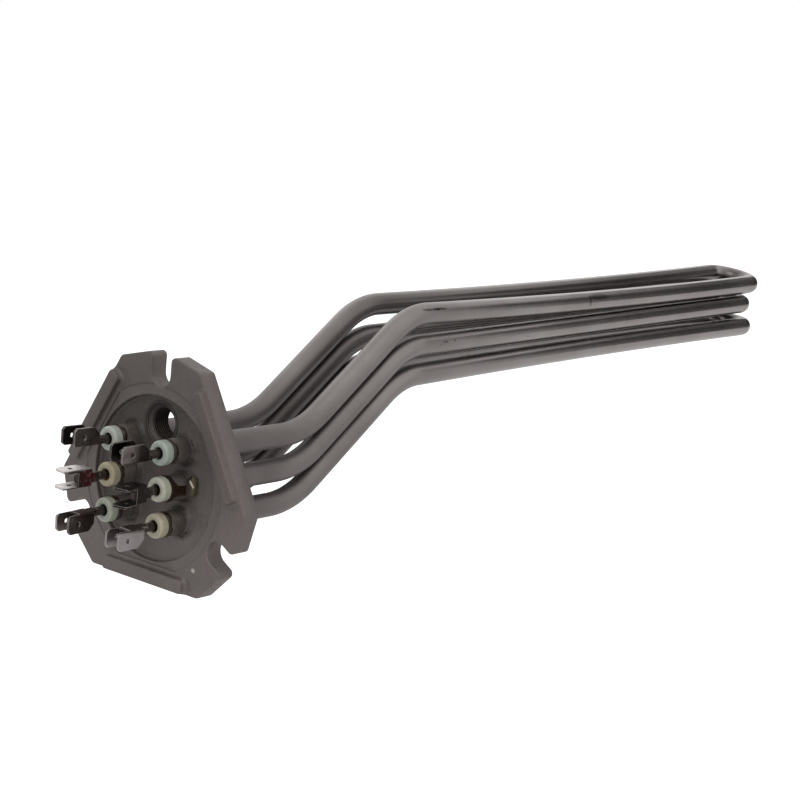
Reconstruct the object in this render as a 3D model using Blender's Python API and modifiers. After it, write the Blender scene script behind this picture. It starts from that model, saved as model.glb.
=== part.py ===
# Three-circuit immersion heating element: a forged triangular flange, three hairpin
# sheathed heaters and six double-tab terminals.
# Metres, +Z up. +X runs from the flange's wet face along the hairpins.
# The origin is on the wet face, on the flange's centre line.
import math

import bmesh
import bpy
from mathutils import Euler, Matrix, Vector

# Driving dimensions
SCALE = 0.001            # the numbers below are millimetres
GAP = 0.3                # clearance kept between touching pieces
REACH = 20.0             # how far a cutter runs past what it cuts

PLATE_T = 7.0            # flange thickness
SIDE_REACH = 35.75       # centre to each of the three long sides
CORNER_REACH = (42.6, 42.75, 43.9)  # centre to the facets of the top, near and far corner
FACET_ANGLE = 15.0       # each facet leans this far off its corner's axis
CORNER_R = 2.2           # rounding between a facet and a long side
NOTCH_W = 8.7            # open bolt notch at each corner
NOTCH_BOTTOM = (31.5, 32.8, 33.9)  # centre to the round bottom of each notch
NOTCH_SIDE = (0.7, 0.3, 0.6)  # how far each notch sits to one side of its corner's axis
JAW_R = 1.8              # rounding at the mouth of a notch
EDGE_R = 0.45            # forged edges of the flange
SPOT_R = 32.3            # machined ring round the recess
SPOT_T = 0.4
RECESS_R = 28.2
RECESS_T = 2.6
RIB_INSET = 0.45         # ribs on the terminal side, measured in from the long side
RIB_W = 4.7
RIB_H = 2.4
RIB_HALF = 18.8          # half the length of a rib
RIB_CORNER_R = 2.0
RIB_DRAFT = 0.3          # how far the flanks lean out at the foot
RIB_EDGE_R = 0.35
BRAZE_FOOT_R = 5.9       # braze fillet round each leg, on the recess floor
BRAZE_TOP_R = 4.95
BRAZE_H = 1.6

TUBE_OD = 8.5
TUBE_BORE = 6.9
LEG_SPACING = 24.24      # between the two legs of a hairpin, at the flange
ROW_SPACING = 12.3       # between hairpins, at the flange
LOOP_WIDTH = 20.9        # between the legs at the far end
TUBE_START = -12.2       # sheath ends on the terminal side
BEND_START = (42.5, 41.0, 38.6)
BEND_R = 34.5
BEND_ANGLE = 35.5
RISE = (39.4, 39.6, 40.8)
LOOP_X = (385.6, 379.8, 383.6)
END_LIFT = (2.8, 4.15, 4.1)
END_TWIST = (2.6, 0.0, 0.0)
BOW = (1.0, 0.0, -0.8)

CORE_OD = 6.3            # magnesia filling
CORE_BORE = 4.6
CORE_START = -6.0
COIL_R = 1.15
COIL_WIRE = 0.6
COIL_PITCH = 42.0        # drawn open: the real winding is many times tighter
COIL_CLEAR = 2.0         # from the end of a pin to the first turn
PIN_D = 3.0
PIN_IN = 36.0

BEAD_FRONT = -17.0
BEAD_BACK = -13.3
BEAD_OD = 8.4
BEAD_BORE = 3.9
BEAD_EDGE_R = 0.9
SEAL_OD = 8.0            # resin ring squeezed out behind each bead
SEAL_WALL = 0.6          # and the wall it leaves to the sheath's bore

TAB_ROOT = -17.3         # where each pin bends and its fork is set
TAB_W = 6.3
TAB_T = 0.8
TAB_BEND_R = 1.1         # outside radius of the folded sheet
TAB_SPACING = 5.7        # between the middles of the two tabs
TAB_BASE = 1.2           # outer face of the base web above the pin's axis
TAB_END = 6.3
TAB_TIP = 17.6
TAB_TIP_CUT = 1.0
TAB_HEEL_CUT = 2.4
TAB_HOLE = 13.3
TAB_HOLE_D = 1.7
TONGUE_END = 3.4
TONGUE_W = 3.4
WEB_TIP = 12.0

BUSH_Z = 18.6
BUSH_HEAD_R = 7.7
BUSH_BODY_R = 6.5
BUSH_BORE_R = 4.75
BUSH_MOUTH_R = 5.5
BUSH_BACK = 3.9
BUSH_SEAT = 0.8          # depth of its seat in the recess floor

FILM_T = 0.45            # resin that ran down from the near middle bead
FILM_TOP = 18.0          # upper edge of the run, degrees up from the sheath's side
FILM_FLARE = 92.0        # how much higher it reaches at the bead
FILM_LOW = -98.0
FILM_NECK = 3.6          # length over which the flare narrows to the run
DROP_HALF = (1.4, 1.8, 3.7)
DROP_OUT = 1.2           # centre of the drop, out from the sheath's side
DROP_UP = 0.8

# Small set of the bent pins as found: side, row, roll, then pitch, yaw and roll in degrees
TERMINALS = {
    "left_top": (1, 1, 180.0, (1.6, 1.9, -2.3)),
    "left_mid": (1, 0, 90.0, (-0.7, -1.2, 1.8)),
    "left_bottom": (1, -1, 0.0, (-1.8, 0.4, 0.0)),
    "right_top": (-1, 1, 180.0, (-2.0, -2.2, 1.8)),
    "right_mid": (-1, 0, 90.0, (-0.4, 13.0, 0.0)),
    "right_bottom": (-1, -1, 0.0, (-0.9, 0.0, 0.9)),
}

FLOOR = -PLATE_T + RECESS_T

for old in list(bpy.data.objects):
    bpy.data.objects.remove(old, do_unlink=True)

PARTS = bpy.data.collections.new("immersion_heater")
CUTTERS = bpy.data.collections.new("cutters")
bpy.context.scene.collection.children.link(PARTS)
bpy.context.scene.collection.children.link(CUTTERS)


def material(name, colour, metallic, roughness):
    mat = bpy.data.materials.new(name)
    mat.use_nodes = True
    shader = mat.node_tree.nodes["Principled BSDF"]
    shader.inputs["Base Color"].default_value = (*colour, 1.0)
    shader.inputs["Metallic"].default_value = metallic
    shader.inputs["Roughness"].default_value = roughness
    return mat


FORGED = material("forged_steel", (0.12, 0.105, 0.10), 0.6, 0.55)
SHEATH = material("sheath_steel", (0.36, 0.33, 0.32), 0.9, 0.35)
POWDER = material("magnesia", (0.80, 0.78, 0.72), 0.0, 0.9)
WIRE = material("resistance_wire", (0.33, 0.30, 0.28), 1.0, 0.4)
PIN = material("pin_steel", (0.30, 0.27, 0.25), 1.0, 0.35)
TAB = material("tab_steel", (0.30, 0.28, 0.27), 1.0, 0.3)
RESIN = material("brown_resin", (0.05, 0.025, 0.012), 0.0, 0.25)
GREEN = material("ceramic_green", (0.33, 0.38, 0.33), 0.0, 0.4)
CREAM = material("ceramic_cream", (0.36, 0.33, 0.24), 0.0, 0.4)
WHITE = material("ceramic_white", (0.40, 0.40, 0.33), 0.0, 0.4)


def place(obj, mat, collection=PARTS):
    """Moves an object to its collection and gives it its material."""
    for owner in list(obj.users_collection):
        owner.objects.unlink(obj)
    collection.objects.link(obj)
    obj.data.materials.clear()
    if mat:
        obj.data.materials.append(mat)
    if collection is CUTTERS:
        obj.hide_render = True
        obj.display_type = "WIRE"
    return obj


def new_object(name, data):
    obj = bpy.data.objects.new(name, data)
    bpy.context.scene.collection.objects.link(obj)
    return obj


def mesh_object(name, bm, mat, collection=PARTS):
    mesh = bpy.data.meshes.new(name)
    bm.to_mesh(mesh)
    bm.free()
    return place(new_object(name, mesh), mat, collection)


def smooth(obj, angle=35.0):
    obj.data.shade_smooth()
    obj.data.set_sharp_from_angle(angle=math.radians(angle))


def box(name, low, high, mat=None, collection=CUTTERS):
    """A box between two corners, in millimetres."""
    bm = bmesh.new()
    bmesh.ops.create_cube(bm, size=1.0)
    size = [(b - a) * SCALE for a, b in zip(low, high)]
    mid = [(b + a) * SCALE / 2 for a, b in zip(low, high)]
    bmesh.ops.scale(bm, vec=size, verts=bm.verts)
    bmesh.ops.translate(bm, vec=mid, verts=bm.verts)
    return mesh_object(name, bm, mat, collection)


def rod(name, x0, x1, radius, y=0.0, z=0.0, sides=24):
    """A round cutter along X."""
    bm = bmesh.new()
    bmesh.ops.create_cone(
        bm, cap_ends=True, segments=sides,
        radius1=radius * SCALE, radius2=radius * SCALE, depth=(x1 - x0) * SCALE)
    turn = Matrix.Rotation(math.radians(90.0), 3, "Y")
    bmesh.ops.rotate(bm, matrix=turn, verts=bm.verts)
    bmesh.ops.translate(
        bm, vec=((x0 + x1) * SCALE / 2, y * SCALE, z * SCALE), verts=bm.verts)
    return mesh_object(name, bm, None, CUTTERS)


def boolean(obj, other, operation="DIFFERENCE"):
    mod = obj.modifiers.new(other.name, "BOOLEAN")
    mod.operation = operation
    mod.object = other
    mod.solver = "EXACT"


def bake(obj):
    """Replaces an object's mesh by its evaluated one, modifiers applied."""
    graph = bpy.context.evaluated_depsgraph_get()
    mesh = bpy.data.meshes.new_from_object(obj.evaluated_get(graph))
    bm = bmesh.new()
    bm.from_mesh(mesh)
    bmesh.ops.remove_doubles(bm, verts=bm.verts, dist=0.000002)
    bm.to_mesh(mesh)
    bm.free()
    obj.modifiers.clear()
    obj.data = mesh
    return obj


def carve(obj, other, operation="DIFFERENCE"):
    """One Boolean, applied at once: a long stack of them on one mesh goes wrong."""
    boolean(obj, other, operation)
    bake(obj)


def rounded(corners, step=22.5):
    """Outline through (a, b, radius) corners, each fillet limited by its two walls."""
    out = []
    for i, (a, b, radius) in enumerate(corners):
        here = Vector((a, b))
        before = Vector(corners[i - 1][:2]) - here
        after = Vector(corners[(i + 1) % len(corners)][:2]) - here
        half = before.angle(after) / 2
        length = min(radius / math.tan(half), before.length / 2, after.length / 2)
        if length <= 0.0:
            out.append((a, b))
            continue
        start = here + before.normalized() * length
        toward = (before.normalized() + after.normalized()).normalized()
        centre = here + toward * (length / math.cos(half))
        arm = start - centre
        turn = arm.angle_signed(here + after.normalized() * length - centre)
        steps = max(2, round(abs(math.degrees(turn)) / step))
        for n in range(steps + 1):
            point = centre + Matrix.Rotation(-turn * n / steps, 2) @ arm
            if not out or (point - Vector(out[-1])).length > 0.01:
                out.append((point.x, point.y))
    return out


def outline(name, loop, low, high, mat=None, collection=CUTTERS, along_y=False):
    """A flat outline made solid: in the YZ plane and along X, or in XZ and along Y."""
    curve = bpy.data.curves.new(name, "CURVE")
    curve.dimensions = "2D"
    curve.fill_mode = "BOTH"
    curve.extrude = (high - low) * SCALE / 2
    spline = curve.splines.new("POLY")
    spline.points.add(len(loop) - 1)
    for point, (a, b) in zip(spline.points, loop):
        point.co = (a * SCALE, b * SCALE, 0.0, 1.0)
    spline.use_cyclic_u = True
    obj = place(new_object(name, curve), mat, collection)
    middle = (low + high) * SCALE / 2
    if along_y:
        rows = ((1, 0, 0, 0), (0, 0, -1, middle), (0, 1, 0, 0), (0, 0, 0, 1))
    else:
        rows = ((0, 0, 1, middle), (1, 0, 0, 0), (0, 1, 0, 0), (0, 0, 0, 1))
    obj.matrix_world = Matrix(rows)
    return curve_to_mesh(obj, mat, collection)


def curve_to_mesh(obj, mat, collection=PARTS):
    graph = bpy.context.evaluated_depsgraph_get()
    mesh = bpy.data.meshes.new_from_object(obj.evaluated_get(graph))
    name = obj.name
    place_matrix = obj.matrix_world.copy()
    bm = bmesh.new()
    bm.from_mesh(mesh)
    bmesh.ops.remove_doubles(bm, verts=bm.verts, dist=0.000005)
    bmesh.ops.recalc_face_normals(bm, faces=bm.faces)
    bm.to_mesh(mesh)
    bm.free()
    bpy.data.objects.remove(obj, do_unlink=True)
    made = place(new_object(name, mesh), mat, collection)
    made.name = name
    made.matrix_world = place_matrix
    return made


def tube(name, points, radius, resolution, mat=None, collection=CUTTERS):
    """A round bar along a path of points, in millimetres."""
    curve = bpy.data.curves.new(name, "CURVE")
    curve.dimensions = "3D"
    curve.bevel_depth = radius * SCALE
    curve.bevel_resolution = resolution
    curve.use_fill_caps = True
    curve.twist_mode = "MINIMUM"
    spline = curve.splines.new("POLY")
    spline.points.add(len(points) - 1)
    for point, co in zip(spline.points, points):
        point.co = (*[c * SCALE for c in co], 1.0)
    obj = place(new_object(name, curve), mat, collection)
    return curve_to_mesh(obj, mat, collection)


def turned(name, profile, mat, steps=16, y=0.0, z=0.0, collection=PARTS):
    """Turned piece on an axis along X. Profile: (x, radius) pairs, closed."""
    mesh = bpy.data.meshes.new(name)
    bm = bmesh.new()
    verts = [bm.verts.new((r * SCALE, 0.0, -px * SCALE)) for px, r in profile]
    for a, b in zip(verts, verts[1:] + verts[:1]):
        bm.edges.new((a, b))
    bm.to_mesh(mesh)
    bm.free()
    obj = place(new_object(name, mesh), mat, collection)
    screw = obj.modifiers.new("turn", "SCREW")
    screw.axis = "Z"
    screw.steps = steps
    screw.render_steps = steps
    screw.use_merge_vertices = True
    screw.merge_threshold = 0.00001
    obj.rotation_euler = (0.0, math.radians(-90.0), 0.0)
    obj.location = (0.0, y * SCALE, z * SCALE)
    return obj


def loft(name, rings, mat=None, collection=CUTTERS):
    """Closed solid through rings of as many points each, in millimetres."""
    bm = bmesh.new()
    layers = []
    for ring in rings:
        layers.append([bm.verts.new([c * SCALE for c in point]) for point in ring])
    count = len(layers[0])
    for first, second in zip(layers, layers[1:]):
        for i in range(count):
            j = (i + 1) % count
            bm.faces.new((first[i], first[j], second[j], second[i]))
    bm.faces.new(layers[0])
    bm.faces.new(layers[-1])
    bmesh.ops.recalc_face_normals(bm, faces=bm.faces)
    return mesh_object(name, bm, mat, collection)


def centre_line(k, start):
    """Centre line of hairpin k from one open end, round the loop, to the other."""
    angle = math.radians(BEND_ANGLE)
    row = ROW_SPACING * (1 - k)
    first = BEND_START[k]
    straight = (RISE[k] - 2 * BEND_R * (1 - math.cos(angle))) / math.sin(angle)
    leg = [(start, row)]
    for i in range(5):
        a = angle * i / 4
        leg.append((first + BEND_R * math.sin(a), row + BEND_R * (1 - math.cos(a))))
    x1 = leg[-1][0] + straight * math.cos(angle)
    z1 = leg[-1][1] + straight * math.sin(angle)
    for i in range(5):
        a = angle * (1 - i / 4)
        leg.append((x1 + BEND_R * (math.sin(angle) - math.sin(a)),
                    z1 + BEND_R * (math.cos(a) - math.cos(angle))))
    x2, z2 = leg[-1]
    radius = LOOP_WIDTH / 2
    stop = LOOP_X[k] - radius
    side = []
    for x, z in leg:
        side.append((x, LEG_SPACING / 2, z))
    for i in range(1, 4):
        u = i / 3
        side.append((x2 + (stop - x2) * u,
                     LEG_SPACING / 2 + (LOOP_WIDTH - LEG_SPACING) / 2 * u,
                     z2 + (END_LIFT[k] + END_TWIST[k] / 2) * u - BOW[k] * 4 * u * (1 - u)))
    far = []
    for x, y, z in side:
        far.append((x, -y, z))
    # the near leg carries the opposite twist
    for i in range(1, 4):
        x, y, z = far[-4 + i]
        far[-4 + i] = (x, y, z - END_TWIST[k] * i / 3)
    loop = []
    for i in range(1, 10):
        a = math.pi * i / 10
        y = radius * math.cos(a)
        z = z2 + END_LIFT[k] + END_TWIST[k] * y / LOOP_WIDTH
        loop.append((stop + radius * math.sin(a), y, z))
    return side + loop + far[::-1]


def walk(points):
    """Lengths along the path at each of its points."""
    out = [0.0]
    for a, b in zip(points, points[1:]):
        out.append(out[-1] + (Vector(b) - Vector(a)).length)
    return out


def along(points, lengths, s):
    """Place and heading at length s of a path."""
    for i in range(len(lengths) - 1):
        if s <= lengths[i + 1]:
            u = (s - lengths[i]) / (lengths[i + 1] - lengths[i])
            a, b = Vector(points[i]), Vector(points[i + 1])
            return a.lerp(b, u), (b - a).normalized()
    a, b = Vector(points[-2]), Vector(points[-1])
    return b, (b - a).normalized()


def flange_outline():
    """Three long sides, and at each corner two facets with an open notch between them."""
    lean = math.radians(FACET_ANGLE)
    side = math.radians(60.0)
    corners = []
    for c, reach in enumerate(CORNER_REACH):
        axis = math.radians(90.0 + 120.0 * c)
        det = math.sin(side - lean)
        u = (reach * math.sin(side) - SIDE_REACH * math.sin(lean)) / det
        v = (SIDE_REACH * math.cos(lean) - reach * math.cos(side)) / det
        near = NOTCH_SIDE[c] - NOTCH_W / 2
        far = NOTCH_SIDE[c] + NOTCH_W / 2
        deep = NOTCH_BOTTOM[c]
        mouth = [(reach - abs(w) * math.sin(lean)) / math.cos(lean) for w in (near, far)]
        for a, b, r in ((u, -v, CORNER_R), (mouth[0], near, JAW_R),
                        (deep, near, NOTCH_W / 2), (deep, far, NOTCH_W / 2),
                        (mouth[1], far, JAW_R), (u, v, CORNER_R)):
            corners.append((a * math.cos(axis) - b * math.sin(axis),
                            a * math.sin(axis) + b * math.cos(axis), r))
    return rounded(corners)


def rib(index):
    """One raised rib along a long side, flanks drafted and top edge eased."""
    turn = math.radians(30.0 + 120.0 * index)
    top = -PLATE_T - RIB_H
    rings = []
    for x, grow in ((-PLATE_T + SPOT_T + GAP, RIB_DRAFT), (top + RIB_EDGE_R, 0.0),
                    (top, -RIB_EDGE_R)):
        out = SIDE_REACH - RIB_INSET + grow
        inn = SIDE_REACH - RIB_INSET - RIB_W - grow
        end = RIB_HALF + grow
        loop = rounded([(inn, -end, RIB_CORNER_R), (out, -end, RIB_CORNER_R / 2),
                        (out, end, RIB_CORNER_R / 2), (inn, end, RIB_CORNER_R)], 30.0)
        rings.append([(x, a * math.cos(turn) - b * math.sin(turn),
                       a * math.sin(turn) + b * math.cos(turn)) for a, b in loop])
    return loft("rib_%d" % index, rings)


# Flange
flange = outline("flange", flange_outline(), -PLATE_T, 0.0, FORGED, PARTS)
soften = flange.modifiers.new("forged_edge", "BEVEL")
soften.width = EDGE_R * SCALE
soften.segments = 2
soften.limit_method = "ANGLE"
soften.angle_limit = math.radians(30.0)
bake(flange)
carve(flange, rod("spot_face", -PLATE_T - REACH, -PLATE_T + SPOT_T, SPOT_R, sides=40))
for c in range(3):
    carve(flange, rib(c), "UNION")
carve(flange, rod("recess", -PLATE_T - REACH, FLOOR, RECESS_R, sides=40))
LEGS = [(side * LEG_SPACING / 2, row * ROW_SPACING) for side in (-1, 1) for row in (-1, 0, 1)]
for y, z in LEGS:
    fillet = turned("braze", [
        (FLOOR - BRAZE_H, TUBE_OD / 2), (FLOOR - BRAZE_H, BRAZE_TOP_R),
        (FLOOR, BRAZE_FOOT_R), (FLOOR + GAP, BRAZE_FOOT_R), (FLOOR + GAP, TUBE_OD / 2)],
        None, 16, y, z, CUTTERS)
    carve(flange, fillet, "UNION")
for y, z in LEGS:
    carve(flange, rod("leg_hole", -REACH, REACH, TUBE_OD / 2 + GAP, y, z))
carve(flange, rod("bush_seat", -REACH, FLOOR + BUSH_SEAT, BUSH_HEAD_R + GAP, 0.0, BUSH_Z, 32))
carve(flange, rod("bush_hole", -REACH, REACH, BUSH_BODY_R + GAP, 0.0, BUSH_Z))
smooth(flange, 30.0)

# Threaded sensor bush: head in its seat, body through the flange
seat = FLOOR + BUSH_SEAT - GAP
rim = seat - 0.9
bush = turned("sensor_bush", [
    (rim, BUSH_HEAD_R), (seat, BUSH_HEAD_R), (seat, BUSH_BODY_R),
    (BUSH_BACK, BUSH_BODY_R), (BUSH_BACK, BUSH_BORE_R),
    (seat + 1.4, BUSH_BORE_R), (seat + 0.7, BUSH_MOUTH_R), (seat + 0.7, BUSH_MOUTH_R + 0.4),
    (seat - 0.2, BUSH_MOUTH_R + 0.7), (seat - 0.2, BUSH_MOUTH_R + 1.3),
    (rim, BUSH_MOUTH_R + 1.5)], FORGED, 20, 0.0, BUSH_Z)

# Hairpins, each of a sheath, a magnesia filling and a resistance coil
for k, row_name in enumerate(("top", "mid", "bottom")):
    path = centre_line(k, TUBE_START)
    sheath = tube("sheath_" + row_name, path, TUBE_OD / 2, 4, SHEATH, PARTS)
    open_path = centre_line(k, TUBE_START - REACH)
    boolean(sheath, tube("sheath_bore_" + row_name, open_path, TUBE_BORE / 2, 1))
    bake(sheath)
    smooth(sheath, 60.0)
    inner = centre_line(k, CORE_START)
    core = tube("magnesia_" + row_name, inner, CORE_OD / 2, 1, POWDER, PARTS)
    boolean(core, tube("core_bore_" + row_name, open_path, CORE_BORE / 2, 1))
    bake(core)
    # resistance coil between the inner ends of the two pins
    lengths = walk(inner)
    s0 = PIN_IN - CORE_START + COIL_CLEAR
    s1 = lengths[-1] - s0
    count = int((s1 - s0) / COIL_PITCH) * 5
    coil = []
    for i in range(count + 1):
        here, heading = along(inner, lengths, s0 + (s1 - s0) * i / count)
        side = heading.cross(Vector((0.0, 0.0, 1.0))).normalized()
        up = side.cross(heading)
        a = math.tau * i / 5
        coil.append(here + (side * math.cos(a) + up * math.sin(a)) * COIL_R)
    tube("coil_" + row_name, coil, COIL_WIRE / 2, 0, WIRE, PARTS)


def terminal_mesh():
    """Fork of two 6.3 mm tabs: sheet folded to a channel, then cut, with a tongue to its pin."""
    out = TAB_SPACING / 2 + TAB_T / 2
    inn = TAB_SPACING / 2 - TAB_T / 2
    low = TAB_BASE - TAB_W
    under = TAB_BASE - TAB_T
    inside = TAB_BEND_R - TAB_T
    section = rounded([(-out, low, 0.0), (-out, TAB_BASE, TAB_BEND_R),
                       (out, TAB_BASE, TAB_BEND_R), (out, low, 0.0), (inn, low, 0.0),
                       (inn, under, inside), (-inn, under, inside), (-inn, low, 0.0)], 45.0)
    fork = outline("fork", section, -TAB_TIP, -TAB_END, TAB, PARTS)
    tip = -TAB_TIP - GAP
    end = -TAB_END + GAP
    blank = [(tip, TAB_BASE - TAB_TIP_CUT - GAP), (tip + TAB_TIP_CUT + GAP * 2, TAB_BASE + GAP),
             (end, TAB_BASE + GAP), (end, low + TAB_HEEL_CUT + GAP),
             (end - TAB_HEEL_CUT - GAP * 2, low - GAP), (tip + TAB_TIP_CUT + GAP * 2, low - GAP),
             (tip, low + TAB_TIP_CUT + GAP)]
    carve(fork, outline("tab_outline", blank, -REACH, REACH, along_y=True), "INTERSECT")
    carve(fork, box("fork_mouth", (-TAB_TIP - REACH, -inn, low - REACH),
                    (-WEB_TIP, inn, TAB_BASE + REACH)))
    carve(fork, box("tongue", (-TAB_END - TAB_T, -TONGUE_W / 2, under),
                    (-TONGUE_END, TONGUE_W / 2, TAB_BASE)), "UNION")
    hole = [(-TAB_HOLE + TAB_HOLE_D / 2 * math.cos(math.tau * i / 8),
             TAB_BASE - TAB_W / 2 + TAB_HOLE_D / 2 * math.sin(math.tau * i / 8))
            for i in range(8)]
    carve(fork, outline("tab_hole", hole, -REACH, REACH, along_y=True))
    bm = bmesh.new()
    bm.from_mesh(fork.data)
    bmesh.ops.transform(bm, matrix=fork.matrix_world, verts=bm.verts)
    mesh = bpy.data.meshes.new("terminal")
    bm.to_mesh(mesh)
    bm.free()
    bpy.data.objects.remove(fork, do_unlink=True)
    return mesh


FORK = terminal_mesh()
BEADS = {"left_top": GREEN, "left_mid": CREAM, "left_bottom": GREEN,
         "right_top": GREEN, "right_mid": WHITE, "right_bottom": CREAM}

for name, (side, row, roll, bend) in TERMINALS.items():
    y = side * LEG_SPACING / 2
    z = row * ROW_SPACING
    bead_r = BEAD_OD / 2
    hole_r = BEAD_BORE / 2
    mouth_r = BEAD_EDGE_R / 2
    turned("bead_" + name, [
        (BEAD_FRONT, hole_r + mouth_r), (BEAD_FRONT, bead_r - BEAD_EDGE_R),
        (BEAD_FRONT + BEAD_EDGE_R, bead_r), (BEAD_BACK, bead_r), (BEAD_BACK, hole_r),
        (BEAD_FRONT + mouth_r, hole_r)], BEADS[name], 16, y, z)
    ring = BEAD_BACK + GAP
    neck_r = TUBE_BORE / 2 - SEAL_WALL
    turned("seal_" + name, [
        (ring, PIN_D / 2 + GAP), (ring, SEAL_OD / 2), (TUBE_START - GAP, SEAL_OD / 2),
        (TUBE_START - GAP, neck_r), (CORE_START - GAP, neck_r),
        (CORE_START - GAP, PIN_D / 2 + GAP)], RESIN, 10, y, z)
    turn = Euler((math.radians(roll + bend[2]), math.radians(bend[0]),
                  math.radians(bend[1])), "XYZ")
    root = Vector((TAB_ROOT, y, z))
    tip = root + turn.to_matrix() @ Vector((-WEB_TIP, 0.0, 0.0))
    pin = tube("pin_" + name, [(PIN_IN, y, z), tuple(root), tuple(tip)],
               PIN_D / 2, 3, PIN, PARTS)
    flat = box("flat_" + name, (-WEB_TIP - REACH, -PIN_D, TAB_BASE - TAB_T - GAP),
               (-TONGUE_END + GAP, PIN_D, TAB_BASE + PIN_D))
    flat.rotation_euler = turn
    flat.location = root * SCALE
    boolean(pin, flat)
    bpy.context.view_layer.update()
    bake(pin)
    smooth(pin, 40.0)
    fork = new_object("terminal_" + name, FORK)
    place(fork, TAB)
    fork.rotation_euler = turn
    fork.location = root * SCALE

# Resin run: it left the near middle bead, ran down the sheath and set as a drop
y0 = -LEG_SPACING / 2
film_start = TUBE_START + GAP
film_end = FLOOR - BRAZE_H - GAP
rings = []
for i in range(6):
    x = film_start + (film_end - film_start) * i / 5
    neck = max(0.0, 1.0 - (x - film_start) / FILM_NECK)
    high = FILM_TOP + FILM_FLARE * neck ** 2
    ring = []
    for radius, angles in ((TUBE_OD / 2 + GAP + FILM_T, range(7)),
                           (TUBE_OD / 2 + GAP, range(6, -1, -1))):
        for n in angles:
            a = math.radians(FILM_LOW + (high - FILM_LOW) * n / 6)
            ring.append((x, y0 - radius * math.cos(a), radius * math.sin(a)))
    rings.append(ring)
run = loft("resin_run", rings, RESIN, PARTS)
bm = bmesh.new()
bmesh.ops.create_uvsphere(bm, u_segments=10, v_segments=6, radius=SCALE)
bmesh.ops.scale(bm, vec=DROP_HALF, verts=bm.verts)
bmesh.ops.translate(
    bm, vec=((FLOOR - GAP - DROP_HALF[0]) * SCALE, (y0 - TUBE_OD / 2 - DROP_OUT) * SCALE,
             DROP_UP * SCALE), verts=bm.verts)
boolean(run, mesh_object("drop", bm, None, CUTTERS), "UNION")
boolean(run, rod("drop_clear", -REACH, REACH, TUBE_OD / 2 + GAP, y0, 0.0))
boolean(run, rod("braze_clear", FLOOR - BRAZE_H - GAP, REACH, BRAZE_FOOT_R + GAP, y0, 0.0))
bake(run)
smooth(run, 50.0)
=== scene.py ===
import math

import bmesh
import bpy
from mathutils import Euler, Matrix, Vector


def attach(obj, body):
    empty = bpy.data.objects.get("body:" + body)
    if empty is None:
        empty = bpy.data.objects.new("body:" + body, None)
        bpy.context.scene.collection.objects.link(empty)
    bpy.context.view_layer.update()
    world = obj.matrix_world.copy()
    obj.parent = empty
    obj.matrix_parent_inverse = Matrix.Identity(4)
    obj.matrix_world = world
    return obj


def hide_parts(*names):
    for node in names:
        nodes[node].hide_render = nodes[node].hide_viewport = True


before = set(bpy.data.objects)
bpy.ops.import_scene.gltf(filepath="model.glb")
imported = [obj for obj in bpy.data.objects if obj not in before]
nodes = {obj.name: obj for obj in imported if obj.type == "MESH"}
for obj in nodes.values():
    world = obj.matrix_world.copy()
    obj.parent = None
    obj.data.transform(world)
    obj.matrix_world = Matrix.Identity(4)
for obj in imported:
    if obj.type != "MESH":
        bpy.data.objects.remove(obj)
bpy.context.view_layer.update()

MM = 0.001

# Sizes of the heater in millimetres, as in its frame where the frame has them
PLATE_T = 7.0
SIDE_REACH = 35.75
CORNER_REACH = (42.6, 42.75, 43.9)
FACET_ANGLE = math.radians(15.0)
NOTCH_W = 8.7
NOTCH_BOTTOM = (31.5, 32.8, 33.9)
NOTCH_SIDE = (0.7, 0.3, 0.6)
CORNER_R = 2.2
JAW_R = 1.8
EDGE_R = 0.45
SPOT_R = 32.3
SPOT_X = -6.6
RECESS_R = 28.2
FLOOR_X = -4.4
RIB_INSET = 0.45
RIB_W = 4.7
RIB_TOP = -9.4
RIB_HALF = 18.8
COVE_R = 1.3
TUBE_R = 4.25
TUBE_WALL = 0.8
LEG_Y = 12.12
ROW_Z = 12.3
TUBE_END = -12.2
CRANK_ANGLE = math.radians(35.5)
CRANK_R = 34.5
LOOP_W = 20.9
BEAD_FRONT = -17.0
BEAD_BACK = -13.3
BEAD_R = 4.2
BORE_R = 1.95
PIN_R = 1.5
TAB_ROOT = -17.3
BUSH_Z = 18.6
THREAD_PITCH = 1.0
THREAD_DEPTH = 0.62
DROP_CENTRE = (-5.95, -17.6, 0.8)
# The double tab, measured from its root before it is put on its pin
TAB_W = 6.5
TAB_T = 0.8
TAB_BEND_R = 1.1
TAB_TOP = 1.2
TAB_LOW = -5.1
TAB_TIP = -17.6
TAB_BACK = -6.3
# Where the flange's cutters end, clear of it
CLEAR_FRONT = -20.0
CLEAR_BACK = 5.0
# Where each crank starts, its rise, the loop's lift and twist, the bow of the run, the reach
HAIRPINS = {"top": (42.5, 39.4, 2.8, 2.6, 1.0, 385.6), "mid": (41.0, 39.6, 4.15, 0.0, 0.0, 379.8),
            "bottom": (38.6, 40.8, 4.1, 0.0, -0.8, 383.6)}
# Side and row of each terminal, its roll, and the degrees it is bent off true round Y, Z and X
TERMINALS = {
    "left_top": (1, 1, 180.0, (1.6, 1.9, -2.3)),
    "left_mid": (1, 0, 90.0, (-0.7, -1.2, 1.8)),
    "left_bottom": (1, -1, 0.0, (-1.8, 0.4, 0.0)),
    "right_top": (-1, 1, 180.0, (-2.0, -2.2, 1.8)),
    "right_mid": (-1, 0, 90.0, (-0.4, 13.0, 0.0)),
    "right_bottom": (-1, -1, 0.0, (-0.9, 0.0, 0.9))}

# Directions: to the terminals, to the near side, up
BACK = (-1.0, 0.0, 0.0)
NEAR = (0.0, -1.0, 0.0)
UP = (0.0, 0.0, 1.0)
WHITE = (1.0, 1.0, 1.0, 1.0)


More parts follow.
